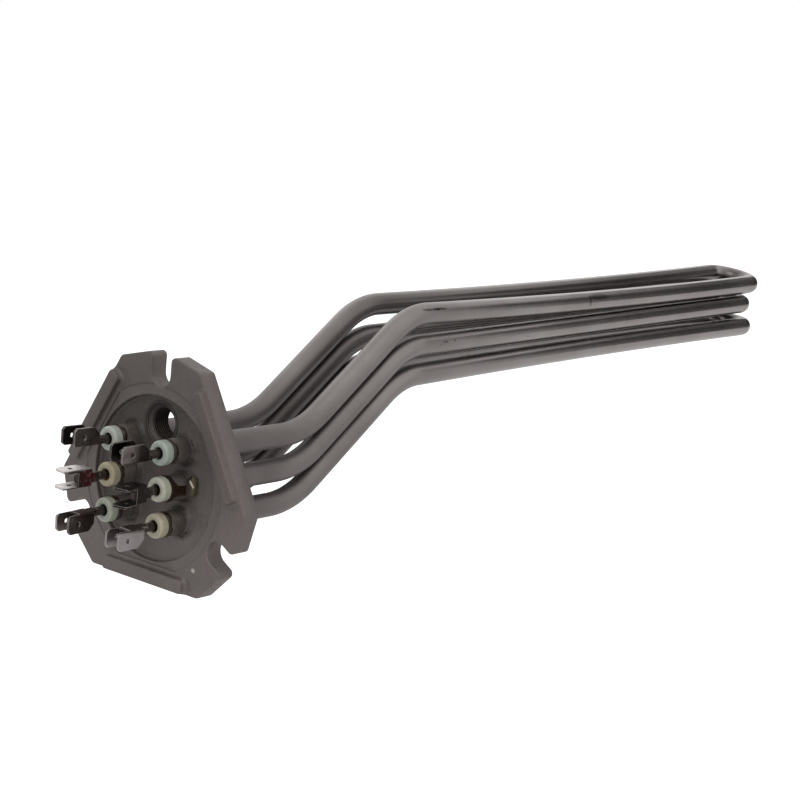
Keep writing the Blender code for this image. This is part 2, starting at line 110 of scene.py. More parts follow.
def srgb(r, g, b):
    """Linear colour of an 8-bit sRGB one."""
    out = []
    for c in (r, g, b):
        c = c / 255.0
        out.append(c / 12.92 if c <= 0.04045 else ((c + 0.055) / 1.055) ** 2.4)
    return (*out, 1.0)


# Camera, fitted to the flange, the tubes and the tabs
def place_camera():
    eye = Vector((-437.9, -436.2, 146.7)) * MM
    ahead = Vector((0.7769, 0.6030, -0.1812)).normalized()
    right = Vector((0.62396, -0.77590, 0.09306))
    right = (right - ahead * right.dot(ahead)).normalized()
    up = right.cross(ahead)
    data = bpy.data.cameras.new("camera")
    data.sensor_width = 36.0
    data.lens = 83.79
    data.clip_start = 0.01
    cam = bpy.data.objects.new("camera", data)
    bpy.context.scene.collection.objects.link(cam)
    cam.matrix_world = Matrix((
        (right.x, up.x, -ahead.x, eye.x),
        (right.y, up.y, -ahead.y, eye.y),
        (right.z, up.z, -ahead.z, eye.z),
        (0.0, 0.0, 0.0, 1.0)))
    bpy.context.scene.camera = cam


# Node tools
def new_group(name, outputs, **inputs):
    """A shader group with float inputs; gives its tree, its inputs and its output node."""
    tree = bpy.data.node_groups.new(name, "ShaderNodeTree")
    for label, value in inputs.items():
        socket = tree.interface.new_socket(label, in_out="INPUT", socket_type="NodeSocketFloat")
        socket.default_value = value
    for label in outputs:
        kind = "NodeSocketVector" if label == "Normal" else "NodeSocketFloat"
        tree.interface.new_socket(label, in_out="OUTPUT", socket_type=kind)
    return tree, tree.nodes.new("NodeGroupInput").outputs, tree.nodes.new("NodeGroupOutput")


def fill(tree, node, values):
    """Sets or links a node's inputs, by name or, as i0, i1 and so on, by number."""
    for key, value in values.items():
        numbered = key[0] == "i" and key[1:].isdigit()
        socket = node.inputs[int(key[1:]) if numbered else key.replace("_", " ")]
        if isinstance(value, bpy.types.NodeSocket):
            tree.links.new(value, socket)
        else:
            socket.default_value = value
    return node


def add(tree, kind, settings=None, **values):
    """A node with its properties set and its inputs filled."""
    node = tree.nodes.new("ShaderNode" + kind)
    for key, value in (settings or {}).items():
        setattr(node, key, value)
    return fill(tree, node, values)


def use(tree, group_tree, **values):
    """A group in a material; gives its outputs."""
    return add(tree, "Group", {"node_tree": group_tree}, **values).outputs


def math_node(tree, operation, a, b=0.0, clamp=False):
    return add(tree, "Math", {"operation": operation, "use_clamp": clamp}, i0=a, i1=b).outputs[0]


def times(tree, product, *factors):
    for factor in factors:
        product = math_node(tree, "MULTIPLY", product, factor)
    return product


def vector_node(tree, operation, a, b=(0.0, 0.0, 0.0)):
    return add(tree, "VectorMath", {"operation": operation}, i0=a, i1=b)


def dot(tree, a, b):
    return vector_node(tree, "DOT_PRODUCT", a, b).outputs["Value"]


def distance(tree, place, point):
    """How far a place is from a point given in millimetres."""
    return vector_node(tree, "DISTANCE", place, [c * MM for c in point]).outputs["Value"]


def ramp(tree, value, low, high, at_low=0.0, at_high=1.0):
    """Value spread from low..high to at_low..at_high, clamped."""
    return add(tree, "MapRange", {"clamp": True}, Value=value, From_Min=low, From_Max=high,
               To_Min=at_low, To_Max=at_high).outputs[0]


def mix(tree, factor, a, b):
    """Blends two colours, each a socket, an 8-bit sRGB triple or four linear numbers."""
    a, b = (srgb(*c) if isinstance(c, tuple) and len(c) == 3 else c for c in (a, b))
    return add(tree, "Mix", {"data_type": "RGBA"}, i0=factor, i6=a, i7=b).outputs[2]


def place_of(tree):
    """The part's own coordinates, in metres."""
    return add(tree, "TexCoord").outputs["Object"]


def normal_of(tree):
    return add(tree, "NewGeometry").outputs["Normal"]


def split(tree, vector):
    return tuple(add(tree, "SeparateXYZ", Vector=vector).outputs)


def bumped(tree, height, strength, reach, normal=None):
    under = {} if normal is None else {"Normal": normal}
    return add(tree, "Bump", Height=height, Strength=strength, Distance=reach, **under).outputs[0]


def openness(tree, reach):
    """1 where nothing stands within reach of the surface, less where something does."""
    return add(tree, "AmbientOcclusion", {"samples": 8}, Distance=reach).outputs["AO"]


def finish(name):
    """A new material; gives it, its tree and its Principled shader."""
    mat = bpy.data.materials.new(name)
    mat.use_nodes = True
    return mat, mat.node_tree, mat.node_tree.nodes["Principled BSDF"]


# Shared effects
def make_mottle():
    """Cloudy stain, from two sizes of noise in the part's own space."""
    tree, start, end = new_group("Mottle", ("Mask", "Fine"), Scale=60.0, Seed=0.0, Low=0.35,
                                 High=0.65)
    spot = vector_node(tree, "ADD", place_of(tree), start["Seed"]).outputs[0]
    big = add(tree, "TexNoise", Vector=spot, Scale=start["Scale"], Detail=5.0, Roughness=0.6)
    small = add(tree, "TexNoise", Vector=spot, Scale=times(tree, start["Scale"], 9.0), Detail=4.0,
                Roughness=0.7)
    fill(tree, end, {"Mask": ramp(tree, big.outputs[0], start["Low"], start["High"]),
                     "Fine": small.outputs[0]})
    return tree


def make_edge_wear():
    """Masks of the outer edges and of the hollows, where the surface turns within the radius."""
    tree, start, end = new_group("Edge Wear", ("Mask", "Hollow", "Normal"), Radius=0.0006,
                                 Sharpness=6.0)
    bevel = add(tree, "Bevel", {"samples": 6}, Radius=start["Radius"]).outputs[0]
    flat = add(tree, "NewGeometry").outputs
    turned = math_node(tree, "SUBTRACT", 1.0, dot(tree, bevel, flat["Normal"]), True)
    edge = math_node(tree, "MULTIPLY", turned, start["Sharpness"], True)
    convex = ramp(tree, flat["Pointiness"], 0.48, 0.52)
    concave = ramp(tree, flat["Pointiness"], 0.5, 0.47)
    fill(tree, end, {"Mask": math_node(tree, "MULTIPLY", edge, convex, True),
                     "Hollow": times(tree, edge, concave), "Normal": bevel})
    return tree


def make_drawn_grain():
    """Fine streaks along a drawn tube, from its own length and girth."""
    tree, start, end = new_group("Drawn Grain", ("Streak",), Across=5000.0, Along=120.0)
    length, girth, _ = split(tree, add(tree, "UVMap", {"uv_map": "run"}).outputs[0])
    spot = add(tree, "CombineXYZ", X=times(tree, length, start["Along"]),
               Y=times(tree, girth, start["Across"])).outputs[0]
    noise = add(tree, "TexNoise", Vector=spot, Scale=1.0, Detail=3.0)
    fill(tree, end, {"Streak": noise.outputs[0]})
    return tree


def make_pits():
    """Scattered small pits, for forged and drawn skin."""
    tree, start, end = new_group("Pits", ("Mask",), Scale=900.0, Share=0.2)
    cells = add(tree, "TexVoronoi", Vector=place_of(tree), Scale=start["Scale"]).outputs
    chosen = math_node(tree, "LESS_THAN", split(tree, cells["Color"])[0], start["Share"])
    fill(tree, end, {"Mask": times(tree, ramp(tree, cells["Distance"], 0.32, 0.12), chosen)})
    return tree


def make_leg_distance():
    """Distance, in metres, from the nearest of the six tube legs where they pass the flange."""
    tree, _, end = new_group("Leg Distance", ("Distance",))
    _, y, z = split(tree, place_of(tree))
    spot = add(tree, "CombineXYZ", Y=math_node(tree, "ABSOLUTE", y), Z=z).outputs[0]
    nearest = distance(tree, spot, (0.0, LEG_Y, -ROW_Z))
    for row in (0, 1):
        here = distance(tree, spot, (0.0, LEG_Y, row * ROW_Z))
        nearest = math_node(tree, "MINIMUM", nearest, here)
    fill(tree, end, {"Distance": nearest})
    return tree


MOTTLE = make_mottle()
EDGE_WEAR = make_edge_wear()
DRAWN_GRAIN = make_drawn_grain()
PITS = make_pits()
LEG_DISTANCE = make_leg_distance()


# Materials
def forged_skin():
    """The flange: forged and tumbled, dull warm grey, sooty and darkened with painted shade in the
    recess round the legs.
    """
    mat, tree, shader = finish("forged_flange")
    stain = use(tree, MOTTLE, Scale=45.0, Low=0.35, High=0.7)
    grain = use(tree, MOTTLE, Scale=420.0, Seed=3.0, Low=0.3, High=0.7)
    lumps = use(tree, MOTTLE, Scale=170.0, Seed=8.0, Low=0.3, High=0.7)
    wear = use(tree, EDGE_WEAR, Radius=0.0007, Sharpness=4.0)
    pits = use(tree, PITS, Scale=700.0, Share=0.12)["Mask"]
    place = place_of(tree)
    x, y, z = split(tree, place)
    flat = add(tree, "CombineXYZ", Y=y, Z=z).outputs[0]
    radius = vector_node(tree, "LENGTH", flat).outputs["Value"]
    base = mix(tree, stain["Mask"], (111, 104, 101), (88, 81, 79))
    base = mix(tree, ramp(tree, grain["Fine"], 0.35, 0.65), base, (110, 102, 99))
    base = mix(tree, wear["Mask"], base, (132, 124, 120))
    base = mix(tree, times(tree, wear["Hollow"], 0.8), base, (58, 52, 49))
    rust = times(tree, ramp(tree, lumps["Fine"], 0.56, 0.68), 0.45)
    base = mix(tree, rust, base, (116, 92, 86))

    # reddish flecks along the outer top edge of the right rib, and the darker upper face
    outward = dot(tree, place, (0.0, -0.866, 0.5))
    blush = times(tree, ramp(tree, outward, 0.0322, 0.0350), ramp(tree, x, -0.0066, -0.0092),
                  ramp(tree, lumps["Fine"], 0.44, 0.6), 0.6)
    base = mix(tree, blush, base, (112, 84, 79))
    upper = times(tree, ramp(tree, z, -0.015, 0.03), ramp(tree, x, -0.0062, -0.0068), 0.6)
    base = mix(tree, upper, base, (78, 72, 69))
    nick = distance(tree, place, (-PLATE_T, -22.2, -26.6))
    ragged = math_node(tree, "ADD", nick, times(tree, grain["Mask"], 0.0007))
    base = mix(tree, ramp(tree, ragged, 0.0014, 0.0008), base, (176, 168, 164))

    # soot and painted shade in the recess and round the legs
    terminal_side = ramp(tree, x, -0.0038, -0.0042)
    soot_and_shade = times(tree, ramp(tree, radius, 0.0286, 0.0272), terminal_side,
                 ramp(tree, math_node(tree, "ADD", y, z), -0.034, 0.016), 0.75)
    base = mix(tree, soot_and_shade, base, (56, 51, 48))
    leg_soot_and_shade = times(tree, ramp(tree, use(tree, LEG_DISTANCE)["Distance"], 0.0072, 0.0048),
                 terminal_side, ramp(tree, stain["Fine"], 0.25, 0.6))
    base = mix(tree, leg_soot_and_shade, base, (52, 45, 42))

    # the bush: painted shade in the threaded bore, lighter on the crests, a darker ring round it,
    # and painted shade on the cone's steps, lighter on their crests
    rim = distance(tree, flat, (0.0, 0.0, BUSH_Z))
    bore = times(tree, ramp(tree, rim, 0.0056, 0.0053), ramp(tree, x, 0.0038, 0.0034))
    turn = math_node(tree, "FRACT", times(tree, math_node(tree, "SUBTRACT", rim, x), 1000.0))
    crest = math_node(tree, "ABSOLUTE", math_node(tree, "SUBTRACT", turn, 0.5))
    crest = ramp(tree, crest, 0.18, 0.34)
    base = mix(tree, bore, base, mix(tree, crest, (22, 19, 17), (62, 56, 52)))
    collar = times(tree, ramp(tree, rim, 0.0082, 0.0078), terminal_side, 0.6)
    base = mix(tree, collar, base, (48, 43, 40))
    cone = times(tree, ramp(tree, rim, 0.0074, 0.0072), ramp(tree, x, -0.0025, -0.0028), 0.75)
    base = mix(tree, cone, base, mix(tree, crest, (34, 30, 28), (84, 78, 75)))

    height = math_node(tree, "SUBTRACT", grain["Fine"], pits)
    uneven = bumped(tree, lumps["Mask"], 0.5, 0.0005, wear["Normal"])
    fill(tree, shader, {
        "Base Color": base, "Metallic": 0.5,
        "Specular IOR Level": ramp(tree, bore, 0.0, 1.0, 0.5, 0.1),
        "Roughness": ramp(tree, grain["Mask"], 0.0, 1.0, 0.46, 0.62),
        "Normal": bumped(tree, height, 0.4, 0.00014, uneven)})
    return mat


def sheath_skin(name, bends, run, marks):
    """Drawn sheath: satin warm grey, duller near the flange, scorched past it, clean at the loop.

    The far leg gets painted shade on its near side, by the share bends, and by the share run past
    them.
    Each mark is a centre and half sizes in mm, a colour, a share and how it is broken up.
    """
    mat, tree, shader = finish(name)
    streak = use(tree, DRAWN_GRAIN, Across=4200.0, Along=90.0)["Streak"]
    stain = use(tree, MOTTLE, Scale=38.0, Low=0.35, High=0.68)
    blotch = use(tree, MOTTLE, Scale=150.0, Seed=5.0, Low=0.45, High=0.62)
    pits = use(tree, PITS, Scale=640.0, Share=0.008)["Mask"]
    place = place_of(tree)
    x, y, _ = split(tree, place)
    dull = mix(tree, stain["Mask"], (117, 111, 109), (103, 97, 95))
    clean = mix(tree, stain["Mask"], (162, 156, 154), (150, 143, 141))
    base = mix(tree, ramp(tree, x, 0.03, 0.20), dull, clean)
    base = mix(tree, pits, base, (104, 97, 93))
    broken = {"whole": 1.0, "specks": use(tree, PITS, Scale=620.0, Share=0.7)["Mask"],
              "flecks": ramp(tree, blotch["Fine"], 0.36, 0.5)}
    for centre, size, colour, share, kind in marks:
        away = vector_node(tree, "SUBTRACT", place, [c * MM for c in centre]).outputs[0]
        span = vector_node(tree, "DIVIDE", away, [c * MM for c in size]).outputs[0]
        reach = vector_node(tree, "LENGTH", span).outputs["Value"]
        mask = times(tree, ramp(tree, reach, 1.0, 0.55), share, broken[kind])
        base = mix(tree, mask, base, colour)
    scorch = ramp(tree, x, -0.0035, -0.0045)
    brown = mix(tree, blotch["Mask"], (104, 98, 94), (84, 74, 68))
    brown = mix(tree, ramp(tree, x, -0.0075, -0.0052), brown, (82, 76, 72))
    base = mix(tree, scorch, base, brown)
    normal = normal_of(tree)
    # painted shade on the loop, on the faces turned back towards the terminals
    inside = times(tree, ramp(tree, dot(tree, normal, BACK), 0.1, 0.7),
                   ramp(tree, x, 0.32, 0.36), 0.85)
    base = mix(tree, inside, base, (78, 73, 71))
    # painted shade on the near side of the far legs, from past the flange to before the loop
    shaded = times(tree, ramp(tree, dot(tree, normal, NEAR), 0.2, 0.6),
                   ramp(tree, y, 0.004, 0.007), ramp(tree, x, 0.012, 0.025),
                   ramp(tree, x, 0.34, 0.30), ramp(tree, x, 0.06, 0.12, bends, run))
    base = mix(tree, shaded, base, (62, 57, 54))
    # painted shade where other surfaces stand within 2 cm, weaker on the terminals' side of the
    # flange
    occlusion_shade = times(tree, ramp(tree, openness(tree, 0.02), 0.75, 0.2),
                  ramp(tree, x, -0.003, 0.002, 0.4, 0.75))
    base = mix(tree, occlusion_shade, base, (48, 43, 41))
    rough = math_node(tree, "ADD", times(tree, stain["Fine"], 0.06),
                      times(tree, ramp(tree, x, 0.345, 0.38), 0.06))
    rough = math_node(tree, "ADD", ramp(tree, x, 0.03, 0.17, 0.52, 0.19), rough)
    fill(tree, shader, {
        "Base Color": base,
        "Metallic": math_node(tree, "SUBTRACT", ramp(tree, x, 0.05, 0.15, 0.6),
                              times(tree, scorch, 0.35)),
        "Roughness": rough,
        "Normal": bumped(tree, math_node(tree, "SUBTRACT", streak, pits), 0.03, 0.00005)})
    return mat


def tab_skin(name, light, dark, low=0.3, high=0.65, roughness=0.3, facing=None, tarnish_and_shade=None,
             edge=(190, 182, 178), far=None, root=None, hollow=0.85, band=None):
    """Stamped tab: bright metal under uneven tarnish, with tarnish and painted shade darkest on the
    faces turned one way.

    far colours what lies past a Y, root what lies past its second X, fading in from its first,
    and band keeps the tarnish and painted shade between two X, with another colour beside it, all
    in mm.
    hollow is the share of painted shade inside the fork.
    """
    mat, tree, shader = finish(name)
    stain = use(tree, MOTTLE, Scale=160.0, Seed=len(name) * 0.37, Low=low, High=high)
    wear = use(tree, EDGE_WEAR, Radius=0.0004, Sharpness=4.0)
    base = mix(tree, stain["Mask"], light, dark)
    x, y, _ = split(tree, place_of(tree))
    normal = normal_of(tree)
    if far:
        base = mix(tree, ramp(tree, y, far[0] * MM, (far[0] + 0.6) * MM), base, far[1])
    open_sky = openness(tree, 0.006)
    hidden = ramp(tree, open_sky, 0.8, 0.4)
    if root:
        inner = ramp(tree, x, root[0] * MM, root[1] * MM)
        if band:
            ahead = ramp(tree, dot(tree, normal, BACK), 0.5, 0.8)
            inner = times(tree, inner, math_node(tree, "MAXIMUM", hidden, ahead))
        base = mix(tree, inner, base, root[2])
    worn = times(tree, wear["Mask"], ramp(tree, stain["Fine"], 0.3, 0.5),
                 ramp(tree, open_sky, 0.45, 0.75))
    metal = 0.85
    if facing:
        # tarnish and painted shade on the faces turned towards facing
        film_and_shade = times(tree, ramp(tree, dot(tree, normal, facing), 0.45, 0.75),
                     ramp(tree, stain["Fine"], 0.2, 0.45))
        if band:
            within = times(tree, ramp(tree, x, band[0] * MM, (band[0] + 1.2) * MM),
                           ramp(tree, x, band[1] * MM, (band[1] - 1.2) * MM))
            tarnish_and_shade = mix(tree, within, band[2], tarnish_and_shade)
            worn = times(tree, worn, math_node(tree, "SUBTRACT", 1.0, film_and_shade))
        base = mix(tree, film_and_shade, base, tarnish_and_shade)
        metal = ramp(tree, film_and_shade, 0.0, 1.0, 1.0, 0.3)
    base = mix(tree, worn, base, mix(tree, 0.5, light, edge))
    # painted shade inside the fork, where its walls stand close
    fill(tree, shader, {
        "Base Color": mix(tree, times(tree, hidden, hollow), base, (30, 25, 22)),
        "Metallic": metal,
        "Roughness": math_node(tree, "ADD", times(tree, stain["Fine"], 0.2), roughness - 0.1),
        "Normal": bumped(tree, stain["Fine"], 0.15, 0.00004, wear["Normal"])})
    return mat


def ceramic_skin(name, body, shade, dirt):
    """Unglazed steatite: smooth, faintly speckled, grubby in patches."""
    mat, tree, shader = finish(name)
    stain = use(tree, MOTTLE, Scale=220.0, Seed=len(name) * 0.21, Low=0.4, High=0.75)
    speck = use(tree, PITS, Scale=2200.0, Share=0.15)["Mask"]
    base = mix(tree, stain["Mask"], body, shade)
    fill(tree, shader, {
        "Base Color": mix(tree, speck, base, dirt), "Roughness": 0.42,
        "Normal": bumped(tree, stain["Fine"], 0.6, 0.00009)})
    return mat


def resin_skin(name, thin, thick, bump=0.12, patch=None, bounds=()):
    """Brown potting resin, glossy, thinner and yellower in patches.

    patch is the colour inside all bounds; a bound is an axis and the mm where it starts and ends.
    """
    mat, tree, shader = finish(name)
    stain = use(tree, MOTTLE, Scale=180.0, Seed=1.7, Low=0.35, High=0.65)
    base = mix(tree, stain["Mask"], thin, thick)
    if patch:
        place = split(tree, place_of(tree))
        masks = [ramp(tree, place[axis], low * MM, high * MM) for axis, low, high in bounds]
        base = mix(tree, times(tree, *masks), base, patch)
    fill(tree, shader, {
        "Base Color": base, "Roughness": 0.3, "Specular IOR Level": 0.3,
        "Normal": bumped(tree, stain["Fine"], bump, 0.00008)})
    return mat


def drop_skin():
    """The hanging drop: olive, dark at its upper back, with one pale slanting painted highlight."""
    mat, tree, shader = finish("resin_drop")
    stain = use(tree, MOTTLE, Scale=300.0, Seed=2.2, Low=0.35, High=0.65)
    centre = [c * MM for c in DROP_CENTRE]
    place = vector_node(tree, "SUBTRACT", place_of(tree), centre).outputs[0]
    sideways = dot(tree, place, (1.0, -1.0, 0.0))
    olive = mix(tree, stain["Mask"], (92, 88, 52), (82, 77, 46))
    base = mix(tree, ramp(tree, sideways, -0.0001, 0.0009), (64, 54, 52), olive)
    back = times(tree, ramp(tree, sideways, 0.0004, -0.0006),
                 ramp(tree, dot(tree, place, UP), 0.0012, 0.0020))
    base = mix(tree, back, base, (34, 28, 24))
    # a painted highlight: one pale slanting streak across the drop
    across = dot(tree, place, (0.728, -0.728, 0.686))
    off = math_node(tree, "ABSOLUTE", math_node(tree, "SUBTRACT", across, 0.0009))
    length = dot(tree, place, (0.686, -0.686, -0.728))
    painted_highlight = times(tree, ramp(tree, off, 0.0005, 0.0003), ramp(tree, length, -0.0025, -0.0021),
                  ramp(tree, length, 0.0009, 0.0005))
    fill(tree, shader, {
        "Base Color": mix(tree, painted_highlight, base, (182, 174, 162)), "Roughness": 0.4,
        "Specular IOR Level": 0.2, "Normal": bumped(tree, stain["Fine"], 0.04, 0.00008)})
    return mat


def powder_skin():
    mat, tree, shader = finish("magnesia_powder")
    stain = use(tree, MOTTLE, Scale=300.0, Low=0.3, High=0.7)
    fill(tree, shader, {
        "Base Color": mix(tree, stain["Mask"], (226, 222, 212), (205, 200, 188)),
        "Roughness": 0.9, "Normal": bumped(tree, stain["Fine"], 0.5, 0.0002)})
    return mat


TOP_MARKS = (
    ((122.5, -15.6, 53.96), (6.0, 2.5, 0.55), (14, 12, 12), 1.0, "flecks"),
    ((116.0, -15.5, 53.95), (4.0, 2.5, 0.5), (44, 40, 38), 0.8, "flecks"),
    ((228.9, -15.0, 52.2), (0.9, 3.0, 3.0), (48, 44, 42), 0.62, "whole"),
    ((236.0, -14.8, 53.8), (9.0, 3.0, 1.5), (70, 64, 62), 0.6, "whole"),
    ((232.6, -15.4, 50.4), (3.2, 3.0, 2.0), (44, 40, 38), 1.0, "specks"))
MID_MARKS = (
    ((135.0, -16.0, 41.3), (11.0, 3.0, 2.2), (44, 40, 38), 1.0, "specks"),
    ((128.5, -16.0, 41.0), (2.2, 3.0, 0.6), (60, 54, 52), 0.6, "flecks"))
TAB_LOOKS = {
    "left_top": dict(light=(122, 114, 110), dark=(78, 70, 66), high=0.6,
                     far=(13.0, (60, 54, 50))),
    "left_mid": dict(light=(218, 213, 211), dark=(168, 156, 150), low=0.4, high=0.75, facing=NEAR,
                     tarnish_and_shade=(66, 21, 20), edge=(40, 30, 29), root=(-33.0, -29.5, (66, 58, 56)),
                     hollow=0.3, band=(-28.2, -21.6, (44, 30, 26))),
    "left_bottom": dict(light=(136, 127, 125), dark=(90, 81, 79), facing=UP,
                        tarnish_and_shade=(43, 24, 22), far=(13.0, (172, 162, 158)), hollow=0.35,
                        root=(-31.5, -27.5, (80, 70, 67))),
    "right_top": dict(light=(140, 132, 131), dark=(88, 78, 76), low=0.35, high=0.7, facing=UP,
                      tarnish_and_shade=(52, 44, 41), far=(-12.4, (58, 53, 50)),
                      root=(-31.5, -27.5, (56, 50, 47))),
    "right_mid": dict(light=(56, 50, 48), dark=(32, 27, 25), facing=NEAR, tarnish_and_shade=(40, 34, 32),
                      edge=(214, 208, 204)),
    "right_bottom": dict(light=(160, 152, 152), dark=(138, 130, 130), low=0.35, high=0.8,
                         facing=UP, tarnish_and_shade=(50, 40, 34), hollow=0.2)}
BEAD_LOOKS = {
    "left_top": ((165, 170, 161), (152, 156, 148), (98, 98, 88)),
    "left_mid": ((162, 155, 132), (148, 140, 116), (98, 86, 66)),
    "left_bottom": ((157, 160, 147), (143, 145, 132), (98, 96, 84)),
    "right_top": ((154, 163, 153), (140, 149, 140), (98, 98, 88)),
    "right_mid": ((173, 172, 158), (159, 158, 144), (98, 90, 78)),
    "right_bottom": ((166, 160, 138), (152, 145, 122), (98, 88, 70))}

FORGED = forged_skin()
SHEATHS = {"top": sheath_skin("sheath_top", 0.15, 0.5, TOP_MARKS),
           "mid": sheath_skin("sheath_mid", 0.7, 0.25, MID_MARKS),
           "bottom": sheath_skin("sheath_bottom", 0.7, 0.25, ())}
POWDER = powder_skin()
COIL = tab_skin("coil_wire", (140, 132, 126), (80, 72, 66), 0.3, 0.7, 0.4)
PIN = tab_skin("pin_steel", (104, 95, 90), (66, 57, 52), 0.3, 0.6, 0.4)
RESIN = resin_skin("bead_resin", (54, 38, 24), (28, 20, 14))
# amber inside the bead's bore, and dark where it was squeezed out behind
AMBER = resin_skin("amber_resin", (128, 80, 30), (84, 50, 20), patch=(40, 29, 19),
                   bounds=[(0, BEAD_BACK - 0.4, BEAD_BACK - 0.2)])
# dark red-brown on the near face, thinning out to the grey sheath below
RUN = resin_skin("resin_run", (40, 23, 14), (32, 18, 11), 0.04, (84, 76, 72),
                 [(2, -1.8, -2.5), (0, -12.8, -11.4)])
DROP = drop_skin()
TABS = {name: tab_skin("tab_" + name, **look) for name, look in TAB_LOOKS.items()}
CERAMICS = {name: ceramic_skin("bead_" + name, *look) for name, look in BEAD_LOOKS.items()}


# Mesh tools
def helper(name, bm):
    """A mesh as an object, to cut or join with or to be made a piece."""
    mesh = bpy.data.meshes.new(name)
    bmesh.ops.recalc_face_normals(bm, faces=bm.faces)
    bm.to_mesh(mesh)
    bm.free()
    obj = bpy.data.objects.new(name, mesh)
    bpy.context.scene.collection.objects.link(obj)
    return obj


def piece(name, bm, mat, node, smooth):
    """Makes the finished object, riding on the heater and standing for its frame node."""
    obj = helper(name, bm)
    obj.data.materials.append(mat)
    obj.data.shade_smooth()
    obj.data.set_sharp_from_angle(angle=math.radians(smooth))
    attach(obj, "root")
    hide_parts(node)
    return obj


def dress(node, mat):
    """Gives a frame node its finish."""
    obj = nodes[node]
    obj.data.materials.clear()
    obj.data.materials.append(mat)


def evaluated(obj):
    """The mesh of a curve, or of a mesh with its modifiers."""
    graph = bpy.context.evaluated_depsgraph_get()
    return bpy.data.meshes.new_from_object(obj.evaluated_get(graph))


def opened(mesh, merge=0.0):
    """A mesh for editing, its points nearer than merge, in metres, made one."""
    bm = bmesh.new()
    bm.from_mesh(mesh)
    if merge:
        bmesh.ops.remove_doubles(bm, verts=bm.verts, dist=merge)
    return bm


def shell(rings, closed=False):
    """Skin through rings of as many points each, in millimetres.

    If closed, the last ring is joined to the first one, otherwise both are capped.
    """
    bm = bmesh.new()
    layers = [[bm.verts.new([c * MM for c in point]) for point in ring] for ring in rings]
    count = len(layers[0])
    for first, second in zip(layers, layers[1:] + (layers[:1] if closed else [])):
        for i in range(count):
            j = (i + 1) % count
            bm.faces.new((first[i], first[j], second[j], second[i]))
    if not closed:
        bm.faces.new(layers[0])
        bm.faces.new(layers[-1])
    return bm


def turned(profile, steps, y, z, swell=None):
    """Rings of a profile of (x, radius) turned round an axis along X, in millimetres."""
    rings = []
    for x, r in profile:
        ring = []
        for i in range(steps):
            a = math.tau * i / steps
            rr = r + swell(x, r, a) if swell else r
            ring.append((x, y + rr * math.cos(a), z + rr * math.sin(a)))
        rings.append(ring)
    return rings


def plug(name, profile, steps, y=0.0, z=0.0):
    """A turned cutter: an open profile closed on its axis."""
    return helper(name, shell(turned(profile, steps, y, z)))


def arc(cx, cr, radius, a0, a1, steps):
    """Points of a profile's rounded corner."""
    angles = [math.radians(a0 + (a1 - a0) * i / steps) for i in range(steps + 1)]
    return [(cx + radius * math.cos(a), cr + radius * math.sin(a)) for a in angles]


def centre_line(row, first, rise, lift, twist, bow, reach):
    """Centre line of a hairpin, as finely as it is drawn; its sizes are in HAIRPINS."""
    angle, bend, half = CRANK_ANGLE, CRANK_R, LOOP_W / 2
    slope = (rise - 2 * bend * (1 - math.cos(angle))) / math.sin(angle)
    leg = [(TUBE_END + (first - TUBE_END) * i / 5, row) for i in range(5)]
    leg += [(first + bend * math.sin(angle * i / 14), row + bend * (1 - math.cos(angle * i / 14)))
            for i in range(15)]
    x0, z0 = leg[-1]
    leg += [(x0 + slope * math.cos(angle) * i / 5, z0 + slope * math.sin(angle) * i / 5)
            for i in range(1, 5)]
    x1, z1 = x0 + slope * math.cos(angle), z0 + slope * math.sin(angle)
    for i in range(15):
        a = angle * (1 - i / 14)
        leg.append((x1 + bend * (math.sin(angle) - math.sin(a)),
                    z1 + bend * (math.cos(a) - math.cos(angle))))
    x2, z2 = leg[-1]
    stop = reach - half
    sides = []
    for side in (1, -1):
        points = [(x, side * LEG_Y, z) for x, z in leg]
        for i in range(1, 25):
            u = i / 24
            points.append((x2 + (stop - x2) * u, side * (LEG_Y + (half - LEG_Y) * u),
                           z2 + (lift + side * twist / 2) * u - bow * 4 * u * (1 - u)))
        sides.append(points)
    loop = []
    for i in range(1, 36):
        a = math.pi * i / 36
        y = half * math.cos(a)
        loop.append((stop + half * math.sin(a), y, z2 + lift + twist * y / LOOP_W))
    return [Vector(p) for p in sides[0] + loop + sides[1][::-1]]


def sweep(points, radii, sides):
    """Tube along a path: its outer skin and its bore, joined at both ends."""
    bm = bmesh.new()
    uv = bm.loops.layers.uv.new("run")
    lengths = [0.0]
    for a, b in zip(points, points[1:]):
        lengths.append(lengths[-1] + (b - a).length)
    side = Vector(UP)
    frames = []
    for i, p in enumerate(points):
        ahead = (points[min(i + 1, len(points) - 1)] - points[max(i - 1, 0)]).normalized()
        side = (side - ahead * side.dot(ahead)).normalized()
        frames.append((p, side.copy(), ahead.cross(side)))
    turns = [math.tau * i / sides for i in range(sides)]
    outer, inner = [[[bm.verts.new((p + (a * math.cos(t) + b * math.sin(t)) * radius) * MM)
                      for t in turns] for p, a, b in frames] for radius in radii]

    def band(first, second, u0, u1):
        for i in range(sides):
            j = (i + 1) % sides
            face = bm.faces.new((first[i], first[j], second[j], second[i]))
            for loop, u, v in zip(face.loops, (u0, u0, u1, u1), (i, i + 1, i + 1, i)):
                loop[uv].uv = (u * MM, v / sides * math.tau * TUBE_R * MM)

    for rings in (outer, inner):
        for n in range(len(rings) - 1):
            band(rings[n], rings[n + 1], lengths[n], lengths[n + 1])
    band(inner[0], outer[0], 0.0, 0.001)
    band(outer[-1], inner[-1], 0.0, 0.001)
    return bm


